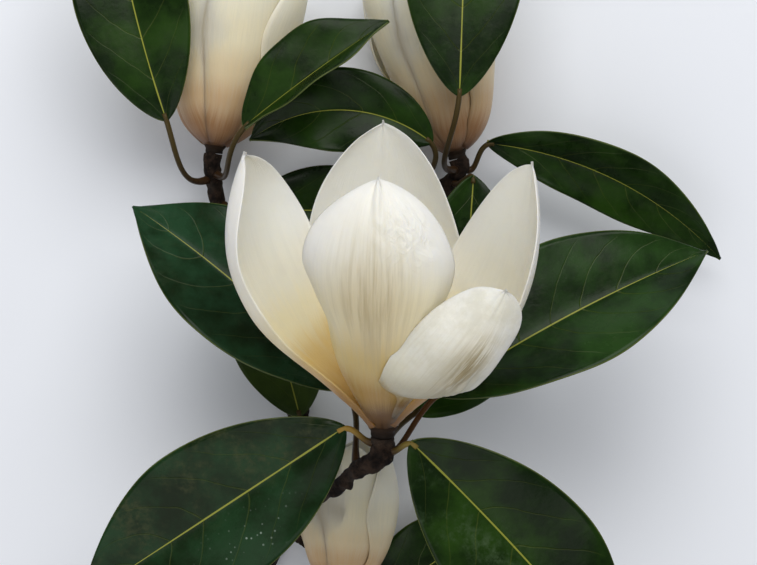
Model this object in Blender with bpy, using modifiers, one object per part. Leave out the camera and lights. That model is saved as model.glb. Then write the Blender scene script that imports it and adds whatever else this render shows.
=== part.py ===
"""A cut flowering branch of an evergreen magnolia, lying on the ground.

Metres, +Z up. The branch lies along Y with its cut end towards -Y. Its front bloom stands
proud of the rest and opens towards +Y. Every place is given from the foot of that bloom.
"""

import math

import bmesh
import bpy
import numpy as np
from mathutils import Matrix, Vector

# Driving sizes
FRONT_BLOOM_FOOT = np.array((-0.0083, -0.0630, 0.1050))
FRONT_BLOOM_RISE = 15
JOINT_GAP = 0.0003
TEPAL_THICKNESS = 0.0014
LEAF_THICKNESS = 0.0013
PETIOLE_HALF_WIDTH = 0.0011
TIP_HALF_WIDTH = 0.0006
TIP_CROWDING = 1.5
LEAST_BEND_RADIUS = 0.0035
FRONT_TEPAL_GRID = (10, 6)
SMALL_TEPAL_GRID = (7, 4)
PETIOLE_ROWS = 3
BLADE_GRID = (10, 2)
PRESS_BLEND = 0.004
RINGS_PER_POINT = 3
FRONT_RECEPTACLE = {"foot": 0.0042, "shoulder": 0.0070, "below": 0.0040, "above": 0.0040}
SMALL_RECEPTACLE = {"foot": 0.0034, "shoulder": 0.0058, "below": 0.0034, "above": 0.0034}

# Each tepal: its compass turn round the bloom (0 faces up from the ground, 90 towards +X), length,
# width, lean from the bloom's axis and half angle of its cup, both from claw to tip, then the sideways
# sway, the roll on its own midline, and the outline: claw width and where it widens, or its breadth at
# even stations as body, and its round end.
FRONT_TEPALS = {
    "back": dict(turn=180, length=0.117, width=0.065, lean=(62, 26, 4, -8), cup=(50, 45, 45, 40),
                 claw=0.42, widens=(0.25, 0.60), rounds=0.48, blunt=2.2, point=0.66),
    "left": dict(turn=-102, length=0.116, width=0.060, lean=(36, 50, 31, 6, -20), cup=(60, 66, 72, 52),
                 claw=0.54, widens=(0.22, 0.52), rounds=0.56, blunt=2.4, point=0.50,
                 roll=(6, 16, 20, 4)),
    "right": dict(turn=100, length=0.112, width=0.057, lean=(42, 50, 28, 10, -2), cup=(60, 64, 58, 50),
                  claw=0.55, widens=(0.22, 0.52), rounds=0.50, blunt=2.0, point=0.54,
                  roll=(0, -16, -22, -14)),
    "front": dict(turn=-4, length=0.111, width=0.062, lean=(60, 50, 28, 8, 0, -24, -56),
                  cup=(70, 72, 76, 70, 50, 30), rounds=0.62, blunt=2.3, point=0.60, start=(0.003, 0.002),
                  body=(0.24, 0.31, 0.46, 0.60, 0.67, 0.76, 0.95, 1.01, 1.0, 1.0, 1.0)),
    "low": dict(turn=14, length=0.079, width=0.039, lean=(30, 30, 50, 86, 60, 32, 26, 20, 14, 6, 0),
                cup=(60, 60, 80, 84, 76, 50), rounds=0.62, blunt=2.4, point=0.46, start=(0.007, 0.003),
                sway=(0, 4, 8, 12, 24, 33, 36, 36, 35, 34, 34), roll=(0, 6, 14, 18, 14),
                body=(0.26, 0.38, 0.54, 0.68, 0.86, 1.0, 1.0, 1.0, 1.0, 1.0, 1.0)),
    "rear_left": dict(turn=-162, length=0.090, width=0.048, lean=(72, 46, 24, 10, 0),
                      cup=(50, 55, 55, 40), claw=0.46, widens=(0.22, 0.60), start=(0.006, -0.001)),
    "rear_right": dict(turn=160, length=0.088, width=0.048, lean=(72, 48, 26, 12, 0),
                       cup=(50, 55, 55, 40), claw=0.46, widens=(0.22, 0.60), start=(0.006, -0.001)),
}

# The half open blooms further back: foot, tilt to the left and rise from the ground in degrees, and
# the tepals they share.
SMALL_BLOOMS = {
    "upper_left_bloom": dict(foot=(-0.0683, 0.1074, -0.082), left=-7, rise=4, length=0.090, width=0.050,
                             lean=(62, 22, 8, 4, -14), first_turn=20),
    "upper_right_bloom": dict(foot=(0.0298, 0.1050, -0.081), left=12, rise=3, length=0.090, width=0.046,
                              lean=(60, 16, 10, 4, -14), first_turn=0),
    "lower_bloom": dict(foot=(-0.0172, -0.0713, -0.078), left=-4, rise=3, length=0.066, width=0.040,
                        lean=(62, 24, 4, -12, -34), first_turn=10),
}
SMALL_BLOOM_TEPALS = 5
SMALL_BLOOM_CORE = (0.30, 0.11)
WELD = 0.00001

# Each stem: the points that its middle passes, with its radius there.
MAIN_STEM = ((-0.0653, -0.1063, -0.1050, 0.0056), (-0.0552, -0.0771, -0.1050, 0.0052),
             (-0.0444, -0.0541, -0.1050, 0.0050), (-0.0360, -0.0291, -0.1050, 0.0046),
             (-0.0344, -0.0082, -0.1050, 0.0042), (-0.0402, 0.0189, -0.1050, 0.0039),
             (-0.0502, 0.0440, -0.1050, 0.0036), (-0.0620, 0.0690, -0.1000, 0.0033),
             (-0.0685, 0.0871, -0.0900, 0.0031))
TWIGS = {
    "front_twig": dict(leaves_main_stem=0.20, bloom="front_bloom",
                       points=((-0.0435, -0.0470, -0.0860, 0.0033), (-0.0385, -0.0400, -0.0670, 0.0031),
                               (-0.0300, -0.0335, -0.0450, 0.0029), (-0.0197, -0.0263, -0.0240, 0.0029),
                               (-0.0113, -0.0188, -0.0100, 0.0030), (-0.0029, -0.0129, -0.0030, 0.0038))),
    "upper_right_twig": dict(leaves_main_stem=0.60, bloom="upper_right_bloom",
                             points=((-0.0290, 0.0560, -0.1020, 0.0028), (-0.0100, 0.0670, -0.1020, 0.0028),
                                     (0.0080, 0.0765, -0.0990, 0.0028), (0.0235, 0.0880, -0.0900, 0.0029))),
    "lower_twig": dict(leaves_main_stem=0.21, bloom="lower_bloom",
                       points=((-0.0300, -0.0590, -0.1010, 0.0027), (-0.0230, -0.0680, -0.1010, 0.0026),
                               (-0.0180, -0.0800, -0.1000, 0.0026), (-0.0160, -0.0880, -0.0900, 0.0027))),
}

# Each leaf: the stem that carries it and how far along, where its blade begins, its heading on the
# compass of the ground (0 is +X), the turn of that heading towards the tip, its climb and droop, its
# size, how far its halves fold up from the midrib and how far it rolls to its left.
LEAVES = {
    "front_leaf_lower_left": dict(stem="front_twig", along=0.94, blade=(-0.0137, -0.0007, 0.0),
                                  heading=213.8, turn=0, climb=-6, droop=6, length=0.120, width=0.0555,
                                  fold=8, roll=0),
    "front_leaf_lower_right": dict(stem="front_twig", along=0.89, blade=(0.0100, -0.0058, 0.003),
                                   heading=-44, turn=-8, climb=-6, droop=8, length=0.120, width=0.0560,
                                   fold=10, roll=0),
    "front_leaf_left": dict(stem="front_twig", along=0.69, blade=(-0.0142, 0.0114, -0.026),
                            heading=133, turn=14, climb=-8, droop=6, length=0.110, width=0.0570,
                            fold=21, roll=21),
    "front_leaf_right": dict(stem="front_twig", along=0.85, blade=(0.0201, 0.0095, -0.020),
                             heading=33, turn=-12, climb=-10, droop=6, length=0.122, width=0.0600,
                             fold=26, roll=-26),
    "front_leaf_behind": dict(stem="front_twig", along=0.79, blade=(0.0118, 0.0017, -0.030),
                              heading=30, turn=10, climb=-14, droop=6, length=0.055, width=0.0220,
                              fold=10, roll=0),
    "stem_leaf": dict(stem="main_stem", along=0.42, blade=(-0.0334, -0.0032, -0.078),
                      heading=104, turn=4, climb=6, droop=10, length=0.075, width=0.0400,
                      fold=10, roll=0),
    "upper_left_leaf_right": dict(stem="main_stem", along=0.87, blade=(-0.0540, 0.1116, -0.050),
                                  heading=38, turn=-4, climb=10, droop=16, length=0.070, width=0.0400,
                                  fold=38, roll=-40),
    "upper_left_leaf_left": dict(stem="main_stem", along=0.85, blade=(-0.0850, 0.1150, -0.058),
                                 heading=108, turn=-10, climb=8, droop=14, length=0.100, width=0.0460,
                                 fold=16, roll=0),
    "upper_left_leaf_low": dict(stem="main_stem", along=0.78, blade=(-0.0560, 0.0797, -0.084),
                                heading=6, turn=-20, climb=4, droop=6, length=0.070, width=0.0380,
                                fold=10, roll=0),
    "upper_right_leaf_up": dict(stem="upper_right_twig", along=0.86, blade=(0.0296, 0.1230, -0.044),
                                heading=88, turn=0, climb=0, droop=12, length=0.112, width=0.0490,
                                fold=12, roll=0),
    "upper_right_leaf_right": dict(stem="upper_right_twig", along=0.87, blade=(0.0422, 0.1077, -0.076),
                                   heading=-6, turn=-40, climb=4, droop=18, length=0.110, width=0.0300,
                                   fold=20, roll=25),
    "upper_right_leaf_down": dict(stem="upper_right_twig", along=0.80, blade=(0.0365, 0.0940, -0.070),
                                  heading=-94, turn=0, climb=2, droop=8, length=0.090, width=0.0430,
                                  fold=16, roll=0),
    "upper_right_leaf_left": dict(stem="upper_right_twig", along=0.68, blade=(0.0195, 0.1065, -0.061),
                                  heading=142, turn=74, climb=10, droop=24, length=0.078, width=0.0340,
                                  fold=12, roll=0),
    "lower_leaf": dict(stem="lower_twig", along=0.72, blade=(-0.0060, -0.0840, -0.095),
                       heading=35, turn=0, climb=2, droop=8, length=0.066, width=0.0400,
                       fold=14, roll=0),
}

COLOURS = {
    "tepals": ((0.80, 0.76, 0.66), 0.45),
    "leaf": ((0.022, 0.065, 0.028), 0.35),
    "bark": ((0.060, 0.040, 0.028), 0.85),
}


def clear_scene():
    for item in list(bpy.data.objects):
        bpy.data.objects.remove(item, do_unlink=True)


def new_collection(name):
    collection = bpy.data.collections.new(name)
    bpy.context.scene.collection.children.link(collection)
    return collection


def new_material(name):
    colour, roughness = COLOURS[name]
    material = bpy.data.materials.new(name)
    material.use_nodes = True
    shader = material.node_tree.nodes["Principled BSDF"]
    shader.inputs["Base Color"].default_value = (*colour, 1.0)
    shader.inputs["Roughness"].default_value = roughness
    shader.inputs["Metallic"].default_value = 0.0
    return material


def smooth_through(values, along):
    """Reads a smooth curve through evenly spaced values, at along from 0 to 1."""
    values = np.atleast_1d(np.asarray(values, float))
    if len(values) == 1:
        return np.full(np.shape(along), values[0])
    last = len(values) - 1
    place = np.clip(np.asarray(along, float), 0, 1) * last
    index = np.minimum(place.astype(int), last - 1)
    part = place - index
    ends = np.concatenate(([2 * values[0] - values[1]], values, [2 * values[-1] - values[-2]]))
    before, here, after, beyond = ends[index], ends[index + 1], ends[index + 2], ends[index + 3]
    return 0.5 * (2 * here + (after - before) * part
                  + (2 * before - 5 * here + 4 * after - beyond) * part ** 2
                  + (3 * here - before - 3 * after + beyond) * part ** 3)


def ease(value):
    value = np.clip(value, 0, 1)
    return value * value * (3 - 2 * value)


def running_total(values, step):
    total = np.zeros_like(values)
    total[1:] = np.cumsum((values[1:] + values[:-1]) / 2 * step, axis=0)
    return total


def pressed_to_ground(points, thickness):
    """Lifts what would pass through the ground, in one smooth bend, so that it rests on it."""
    height = points[..., 2] - thickness / 2
    bend = (height + PRESS_BLEND) ** 2 / (4 * PRESS_BLEND)
    height = np.where(height > PRESS_BLEND, height, np.where(height < -PRESS_BLEND, 0, bend))
    pressed = points.copy()
    pressed[..., 2] = height + thickness / 2
    return pressed


FINE = np.linspace(0, 1, 241)


def picked(fine_values, along):
    return np.stack([np.interp(along, FINE, fine_values[:, axis]) for axis in range(3)], axis=1)


def section(half_angles, columns):
    """Points of a unit cross-section, as offsets across and inwards, for each row's half angle."""
    across = np.linspace(-1, 1, columns + 1)
    angle = half_angles[:, None] * across[None, :]
    step = across[1] - across[0]
    sideways = np.zeros_like(angle)
    inwards = np.zeros_like(angle)
    sideways[:, 1:] = np.cumsum((np.cos(angle[:, 1:]) + np.cos(angle[:, :-1])) / 2 * step, axis=1)
    inwards[:, 1:] = np.cumsum((np.sin(angle[:, 1:]) + np.sin(angle[:, :-1])) / 2 * step, axis=1)
    middle = columns // 2
    return sideways - sideways[:, middle:middle + 1], inwards - inwards[:, middle:middle + 1]


def tepal_points(rows, columns, turn, length, width, lean, cup, claw=0.4, widens=(0.2, 0.6),
                 rounds=0.55, blunt=2.3, point=0.6, sway=0, roll=0, start=(0.004, 0.0), body=None):
    """The middle surface of a tepal, about a bloom that stands on its foot along +Z."""
    along = 1 - (1 - np.linspace(0, 1, rows + 1)) ** TIP_CROWDING
    turn = math.radians(turn)
    outwards = np.array((math.sin(turn), -math.cos(turn), 0.0))
    sideways = np.array((math.cos(turn), math.sin(turn), 0.0))
    upwards = np.array((0.0, 0.0, 1.0))
    lean = np.radians(smooth_through(lean, FINE))[:, None]
    sway = np.radians(smooth_through(sway, FINE))[:, None]
    roll = np.radians(smooth_through(roll, FINE))[:, None]
    rising = upwards * np.cos(lean) + outwards * np.sin(lean)
    heading = rising * np.cos(sway) + sideways * np.sin(sway)
    spine = running_total(heading, length / (len(FINE) - 1)) + outwards * start[0] + upwards * start[1]
    flat = sideways * np.cos(sway) - rising * np.sin(sway)
    facing = outwards * np.cos(lean) - upwards * np.sin(lean)
    across = flat * np.cos(roll) + facing * np.sin(roll)
    facing = facing * np.cos(roll) - flat * np.sin(roll)
    spine, across, facing = picked(spine, along), picked(across, along), picked(facing, along)
    if body is None:
        body = claw + (1 - claw) * ease((along - widens[0]) / (widens[1] - widens[0]))
    else:
        body = smooth_through(body, along)
    past = np.clip((along - rounds) / (1 - rounds), 0, 1)
    half_width = np.maximum(width / 2 * body * (1 - past ** blunt) ** point, TIP_HALF_WIDTH)
    bend = np.minimum(np.radians(smooth_through(cup, along)), half_width / LEAST_BEND_RADIUS)
    aside, inwards = section(bend, columns)
    return (spine[:, None] + across[:, None] * (aside * half_width[:, None])[..., None]
            - facing[:, None] * (inwards * half_width[:, None])[..., None])


def blade_outline(along):
    """Half width of a leaf blade as a share of its greatest: full at the base, drawn out at the tip."""
    arch = np.abs(np.sin(math.pi * along))
    return np.where(along < 0.5, arch ** 0.65, arch ** 0.95)


def path_points(points, along):
    """Middle and radius of a stem, through its listed points."""
    points = np.asarray(points)
    return np.stack([smooth_through(points[:, axis], along) for axis in range(points.shape[1])], axis=-1)


def foot_on(stem, along, towards, gap):
    """Where a limb starts beside a stem, the way straight out from the stem there, and its course."""
    here = path_points(stem, np.array(along))
    behind = path_points(stem, np.array(max(along - 0.01, 0.0)))
    ahead = path_points(stem, np.array(min(along + 0.01, 1.0)))
    course = (ahead - behind)[:3]
    course = course / np.linalg.norm(course)
    out = np.asarray(towards) - here[:3]
    out = out - course * np.dot(out, course)
    out = out / np.linalg.norm(out)
    return here[:3] + out * (here[3] + gap), out, course


def leaf_points(petiole_rows, blade_rows, columns, stem, along, blade, heading, turn, climb, droop,
                length, width, fold, roll):
    """The middle surface of a leaf: a narrow strip for its petiole, then its folded blade."""
    pitch = np.radians(climb - droop * FINE)
    compass = np.radians(heading + turn * FINE)
    course = np.stack([np.cos(pitch) * np.cos(compass), np.cos(pitch) * np.sin(compass), np.sin(pitch)], 1)
    left = np.stack([-np.sin(compass), np.cos(compass), np.zeros_like(compass)], axis=1)
    upper = np.cross(course, left)
    tilt = math.radians(roll)
    left, upper = left * math.cos(tilt) + upper * math.sin(tilt), upper * math.cos(tilt) - left * math.sin(tilt)
    spine = running_total(course, length / (len(FINE) - 1)) + np.asarray(blade)
    blade_along = np.linspace(0, 1, blade_rows + 1)
    foot, out, stem_course = foot_on(stem, along, blade, JOINT_GAP)
    reach = np.linalg.norm(np.asarray(blade) - foot)
    share = np.linspace(0, 1, petiole_rows + 1)[:-1, None]
    bends = (foot, foot + out * reach * 0.4, np.asarray(blade) - course[0] * reach * 0.35, np.asarray(blade))
    petiole = (bends[0] * (1 - share) ** 3 + bends[1] * 3 * share * (1 - share) ** 2
               + bends[2] * 3 * share ** 2 * (1 - share) + bends[3] * share ** 3)
    way = (3 * (bends[1] - bends[0]) * (1 - share) ** 2 + 6 * (bends[2] - bends[1]) * share * (1 - share)
           + 3 * (bends[3] - bends[2]) * share ** 2)
    way = way / np.linalg.norm(way, axis=1)[:, None]
    stem_course = stem_course * (1 if np.dot(stem_course, left[0]) > 0 else -1)
    petiole_left = stem_course * (1 - share) + left[0] * share
    petiole_left = petiole_left - way * np.sum(way * petiole_left, axis=1)[:, None]
    petiole_left = petiole_left / np.linalg.norm(petiole_left, axis=1)[:, None]
    spine = np.concatenate((petiole, picked(spine, blade_along)))
    left = np.concatenate((petiole_left, picked(left, blade_along)))
    upper = np.concatenate((np.cross(way, petiole_left), picked(upper, blade_along)))
    half_width = np.concatenate((np.zeros(petiole_rows), width / 2 * blade_outline(blade_along)))
    folded = np.radians(fold) * np.concatenate((np.zeros(petiole_rows), np.ones(blade_rows + 1)))
    half_width = np.maximum(half_width, np.where(np.arange(len(half_width)) <= petiole_rows,
                                                 PETIOLE_HALF_WIDTH, TIP_HALF_WIDTH))
    across = np.linspace(-1, 1, columns + 1)
    aside = half_width[:, None] * np.cos(folded)[:, None] * across[None, :]
    raised = half_width[:, None] * np.sin(folded)[:, None] * np.abs(across)[None, :]
    return spine[:, None] + left[:, None] * aside[..., None] + upper[:, None] * raised[..., None]


def sheet_object(name, points, thickness, material, collection):
    """A thin solid on a grid of points: rows lengthwise, columns across."""
    rows, columns = points.shape[0] - 1, points.shape[1] - 1
    foot = points[0].mean(axis=0)
    mesh = bpy.data.meshes.new(name)
    grid = bmesh.new()
    bmesh.ops.create_grid(grid, x_segments=columns, y_segments=rows, size=1)
    for vertex in grid.verts:
        row = round((vertex.co.y + 1) / 2 * rows)
        column = round((vertex.co.x + 1) / 2 * columns)
        vertex.co = Vector(points[row, column] - foot)
    grid.to_mesh(mesh)
    grid.free()
    mesh.materials.append(material)
    item = bpy.data.objects.new(name, mesh)
    item.location = foot
    collection.objects.link(item)
    solidify = item.modifiers.new("thickness", "SOLIDIFY")
    solidify.thickness = thickness
    solidify.offset = 0
    return item


def primitive_object(name, build, placing, material, collection):
    """A solid from one of the primitives, placed by a matrix."""
    mesh = bpy.data.meshes.new(name)
    shape = bmesh.new()
    build(shape)
    shape.transform(placing)
    shape.to_mesh(mesh)
    shape.free()
    mesh.materials.append(material)
    item = bpy.data.objects.new(name, mesh)
    collection.objects.link(item)
    return item


def keep_outer_shell(mesh):
    """Drops hollows that fusing sealed and scraps that it left loose."""
    shell = bmesh.new()
    shell.from_mesh(mesh)
    bmesh.ops.triangulate(shell, faces=shell.faces)
    bmesh.ops.dissolve_degenerate(shell, edges=shell.edges, dist=WELD)
    shell.faces.ensure_lookup_table()
    unseen = set(shell.faces)
    groups = []
    while unseen:
        first = unseen.pop()
        group, edge_of_group = {first}, [first]
        while edge_of_group:
            face = edge_of_group.pop()
            for edge in face.edges:
                for other in edge.link_faces:
                    if other in unseen:
                        unseen.discard(other)
                        group.add(other)
                        edge_of_group.append(other)
        groups.append(group)
    largest = max(groups, key=lambda group: sum(face.calc_area() for face in group))
    spare = [face for group in groups if group is not largest for face in group]
    bmesh.ops.delete(shell, geom=spare, context="FACES")
    shell.to_mesh(mesh)
    shell.free()


def fuse(name, pieces, collection):
    """Joins overlapping solids into one solid, and removes the pieces."""
    first, others = pieces[0], pieces[1:]
    group = new_collection(name + "_pieces")
    for piece in others:
        group.objects.link(piece)
        collection.objects.unlink(piece)
    union = first.modifiers.new("union", "BOOLEAN")
    union.operation = "UNION"
    union.operand_type = "COLLECTION"
    union.collection = group
    union.solver = "MANIFOLD"
    view = bpy.context.evaluated_depsgraph_get()
    mesh = bpy.data.meshes.new_from_object(first.evaluated_get(view))
    mesh.name = name
    keep_outer_shell(mesh)
    whole = bpy.data.objects.new(name, mesh)
    whole.matrix_world = first.matrix_world.copy()
    collection.objects.link(whole)
    for piece in pieces:
        bpy.data.objects.remove(piece, do_unlink=True)
    bpy.data.collections.remove(group)
    return whole


def bloom_frame(left, rise):
    """Turns a bloom that stands along +Z to lie along the ground: columns are its X, Y and Z."""
    aside, up = math.radians(left), math.radians(rise)
    axis = np.array((-math.sin(aside) * math.cos(up), math.cos(aside) * math.cos(up), math.sin(up)))
    right = np.cross(axis, (0.0, 0.0, 1.0))
    right = right / np.linalg.norm(right)
    return np.stack((right, np.cross(axis, right), axis), axis=1)


def placing_of(foot, turned):
    placing = Matrix(turned.tolist()).to_4x4()
    placing.translation = Vector(foot)
    return placing


def receptacle(name, sizes, placing, material, collection):
    depth = sizes["below"] + sizes["above"]
    middle = Matrix.Translation((0, 0, (sizes["above"] - sizes["below"]) / 2))

    def build(shape):
        bmesh.ops.create_cone(shape, cap_ends=True, segments=12, radius1=sizes["foot"],
                              radius2=sizes["shoulder"], depth=depth)

    return primitive_object(name, build, placing @ middle, material, collection)


def core(name, middle, radius, half_height, placing, material, collection):
    stretched = Matrix.Translation((0, 0, middle)) @ Matrix.Diagonal((radius, radius, half_height, 1))

    def build(shape):
        bmesh.ops.create_uvsphere(shape, u_segments=10, v_segments=7, radius=1)

    return primitive_object(name, build, placing @ stretched, material, collection)


def front_bloom(material, collection):
    """The open bloom: seven tepals, the receptacle, and the cone of its carpels."""
    turned = bloom_frame(0, FRONT_BLOOM_RISE)
    placing = placing_of(FRONT_BLOOM_FOOT, turned)
    pieces = [receptacle("front_receptacle", FRONT_RECEPTACLE, placing, material, collection),
              core("front_cone", 0.014, 0.0065, 0.013, placing, material, collection)]
    for name, shape in FRONT_TEPALS.items():
        points = tepal_points(*FRONT_TEPAL_GRID, **shape) @ turned.T + FRONT_BLOOM_FOOT
        pieces.append(sheet_object(name, points, TEPAL_THICKNESS, material, collection))
    return fuse("front_bloom", pieces, collection)


def small_bloom(name, foot, left, rise, length, width, lean, first_turn, material, collection):
    """A half open bloom: a ring of tepals round the closed heart of the bud."""
    turned = bloom_frame(left, rise)
    foot = np.asarray(foot) + FRONT_BLOOM_FOOT
    placing = placing_of(foot, turned)
    half_height, radius = SMALL_BLOOM_CORE[0] * length, SMALL_BLOOM_CORE[1] * length
    pieces = [receptacle(name + "_receptacle", SMALL_RECEPTACLE, placing, material, collection),
              core(name + "_core", half_height, radius, half_height, placing, material, collection)]
    for index in range(SMALL_BLOOM_TEPALS):
        outer = index % 2
        opened = tuple(angle + 4 * outer for angle in lean)
        points = tepal_points(*SMALL_TEPAL_GRID, turn=first_turn + index * 360 / SMALL_BLOOM_TEPALS,
                              length=length * (1 - 0.05 * outer), width=width, lean=opened,
                              cup=(55, 60, 60, 50), claw=0.5, widens=(0.2, 0.62), point=0.6,
                              start=(0.0035 + 0.0012 * outer, 0.0))
        points = pressed_to_ground(points @ turned.T + foot, TEPAL_THICKNESS)
        pieces.append(sheet_object(f"{name}_{index}", points, TEPAL_THICKNESS, material, collection))
    return fuse(name, pieces, collection)


def bloom_end(name):
    """The last two points of the stem under a bloom: it meets the receptacle square, a gap below."""
    if name == "front_bloom":
        foot, axis, sizes = FRONT_BLOOM_FOOT, bloom_frame(0, FRONT_BLOOM_RISE)[:, 2], FRONT_RECEPTACLE
    else:
        shape = SMALL_BLOOMS[name]
        foot = np.asarray(shape["foot"]) + FRONT_BLOOM_FOOT
        axis, sizes = bloom_frame(shape["left"], shape["rise"])[:, 2], SMALL_RECEPTACLE
    top = foot - axis * (sizes["below"] + JOINT_GAP)
    below = top - axis * 0.004
    return np.array((*below, sizes["foot"])), np.array((*top, sizes["foot"]))


def on_ground(points):
    """Stem points moved into place, each at least its radius above the ground."""
    placed = np.asarray(points, float) + np.array((*FRONT_BLOOM_FOOT, 0.0))
    placed[:, 2] = np.maximum(placed[:, 2], placed[:, 3])
    return placed


def stem_courses():
    """The points of every stem, each from its thick end."""
    main = on_ground(MAIN_STEM)
    courses = {"main_stem": np.concatenate((main, bloom_end("upper_left_bloom")))}
    for name, twig in TWIGS.items():
        placed = on_ground(twig["points"])
        foot, out, _ = foot_on(courses["main_stem"], twig["leaves_main_stem"], placed[0, :3], JOINT_GAP)
        radius = placed[0, 3]
        start = np.array(((*foot, radius), (*(foot + out * 0.004), radius)))
        courses[name] = np.concatenate((start, placed, bloom_end(twig["bloom"])))
    return courses


def limb_path(name, course):
    """Rings of a limb, kept straight at the ends that meet another piece, so that these sit square."""
    rings = RINGS_PER_POINT * (len(course) - 1)
    path = path_points(course, np.linspace(0, 1, rings + 1))
    kept = np.ones(rings + 1, bool)
    kept[rings - RINGS_PER_POINT + 1:rings] = False
    if name != "main_stem":
        kept[1:RINGS_PER_POINT] = False
    return path[kept]


def stem_object(name, course, material, collection):
    """A tapering limb, as a bevelled curve with flat cut ends."""
    path = limb_path(name, course)
    curve = bpy.data.curves.new(name, "CURVE")
    curve.dimensions = "3D"
    curve.bevel_depth = 1.0
    curve.bevel_resolution = 2
    curve.use_fill_caps = True
    spline = curve.splines.new("POLY")
    spline.points.add(len(path) - 1)
    for point, (x, y, z, radius) in zip(spline.points, path):
        point.co = (x, y, max(z, radius), 1.0)
        point.radius = radius
    curve.materials.append(material)
    item = bpy.data.objects.new(name, curve)
    collection.objects.link(item)
    return item


def leaf_object(name, courses, leaf, material, collection):
    shape = dict(leaf)
    shape["stem"] = courses[leaf["stem"]]
    shape["blade"] = np.asarray(leaf["blade"]) + FRONT_BLOOM_FOOT
    points = leaf_points(PETIOLE_ROWS, *BLADE_GRID, **shape)
    return sheet_object(name, pressed_to_ground(points, LEAF_THICKNESS), LEAF_THICKNESS, material, collection)


def main():
    clear_scene()
    branch = new_collection("magnolia_branch")
    materials = {name: new_material(name) for name in COLOURS}
    courses = stem_courses()
    front_bloom(materials["tepals"], branch)
    for name, shape in SMALL_BLOOMS.items():
        small_bloom(name, material=materials["tepals"], collection=branch, **shape)
    for name, course in courses.items():
        stem_object(name, course, materials["bark"], branch)
    for name, leaf in LEAVES.items():
        leaf_object(name, courses, leaf, materials["leaf"], branch)


main()
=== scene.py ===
"""Looks of a cut flowering magnolia branch: separate waxy petals, veined leathery leaves, rough bark."""

import math

import bpy
import numpy as np
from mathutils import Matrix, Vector, noise


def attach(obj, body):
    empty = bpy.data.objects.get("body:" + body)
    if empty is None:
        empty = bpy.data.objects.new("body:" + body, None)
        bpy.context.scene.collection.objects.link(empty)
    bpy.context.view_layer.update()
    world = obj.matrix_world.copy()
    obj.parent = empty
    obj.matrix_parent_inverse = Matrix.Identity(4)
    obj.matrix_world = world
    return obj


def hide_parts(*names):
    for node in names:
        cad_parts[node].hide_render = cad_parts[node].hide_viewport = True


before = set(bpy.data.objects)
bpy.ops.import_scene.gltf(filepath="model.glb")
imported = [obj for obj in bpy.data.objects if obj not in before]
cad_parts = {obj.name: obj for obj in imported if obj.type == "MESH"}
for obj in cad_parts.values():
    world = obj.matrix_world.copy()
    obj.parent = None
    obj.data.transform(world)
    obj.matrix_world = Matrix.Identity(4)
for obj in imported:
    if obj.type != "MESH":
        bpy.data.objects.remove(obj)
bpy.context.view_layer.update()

# Driving sizes, in metres and degrees: those of the solids, with the nearest petals and leaves refined
FRONT_BLOOM_FOOT = np.array((-0.0083, -0.0630, 0.1050))
FRONT_BLOOM_RISE = 15
JOINT_GAP = 0.0003
TWIG_END = 0.004
PRESS_BLEND = 0.004
FRONT_RECEPTACLE = dict(foot=0.0042, shoulder=0.0070, below=0.0040, above=0.0040)
SMALL_RECEPTACLE = dict(foot=0.0034, shoulder=0.0058, below=0.0034, above=0.0034)
TEPAL_THICKNESS = 0.0013
LEAF_THICKNESS = 0.0009
PETIOLE_RADIUS = 0.0011
LEAST_TEPAL_HALF = 0.00005
LEAST_BLADE_HALF = 0.00025

# Shares of a petal's length or width, at its pointed tip and at its foot
MUCRO = 0.012
BEAK_WIDTH = 0.09
CLAW_FOOT_WIDTH = 0.55
CLAW_FOOT_END = 0.16

REAR_TEPAL = dict(width=0.048, cup=(50, 55, 55, 40), claw=0.46, widens=(0.22, 0.60), start=(0.006, -0.001))
FRONT_TEPALS = {
    "back": dict(
        turn=180, length=0.117, width=0.065, lean=(62, 26, 4, -8), cup=(50, 45, 45, 40), claw=0.42,
        widens=(0.25, 0.60), rounds=0.48, blunt=2.2, point=0.66),
    "left": dict(
        turn=-102, length=0.116, width=0.060, lean=(36, 50, 31, 6, -20), cup=(60, 66, 72, 52), claw=0.54,
        widens=(0.22, 0.52), rounds=0.60, blunt=2.5, point=0.46, roll=(6, 16, 20, 4)),
    "right": dict(
        turn=100, length=0.112, width=0.057, lean=(42, 50, 28, 10, -2), cup=(60, 64, 58, 50), claw=0.55,
        widens=(0.22, 0.52), rounds=0.50, blunt=2.0, point=0.54, roll=(0, -16, -22, -14)),
    "front": dict(
        turn=-4, length=0.1142, width=0.062, lean=(46, 46, 34, 11, 0, -22, -52),
        cup=(70, 72, 76, 70, 50, 30), rounds=0.62, blunt=2.3, point=0.60, start=(0.002, -0.002),
        body=(0.24, 0.31, 0.46, 0.60, 0.67, 0.76, 0.95, 1.01, 1.0, 1.0, 1.0)),
    "low": dict(
        turn=14, length=0.082, width=0.0365, lean=(50, 44, 48, 82, 54, 30, 24, 16, 8, 2, 0),
        cup=(50, 50, 50, 56, 66, 50), rounds=0.62, blunt=2.4, point=0.46, start=(0.009, 0.0055),
        sway=(-2, 2, 5, 10, 22, 31, 34, 34, 33, 32, 32), roll=(0, 6, 14, 18, 14),
        body=(0.28, 0.40, 0.56, 0.70, 0.88, 0.98, 1.0, 1.0, 1.0, 1.0, 1.0)),
    "rear_left": dict(REAR_TEPAL, turn=-162, length=0.090, lean=(72, 46, 24, 10, 0)),
    "rear_right": dict(REAR_TEPAL, turn=160, length=0.088, lean=(72, 48, 26, 12, 0)),
}

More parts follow.
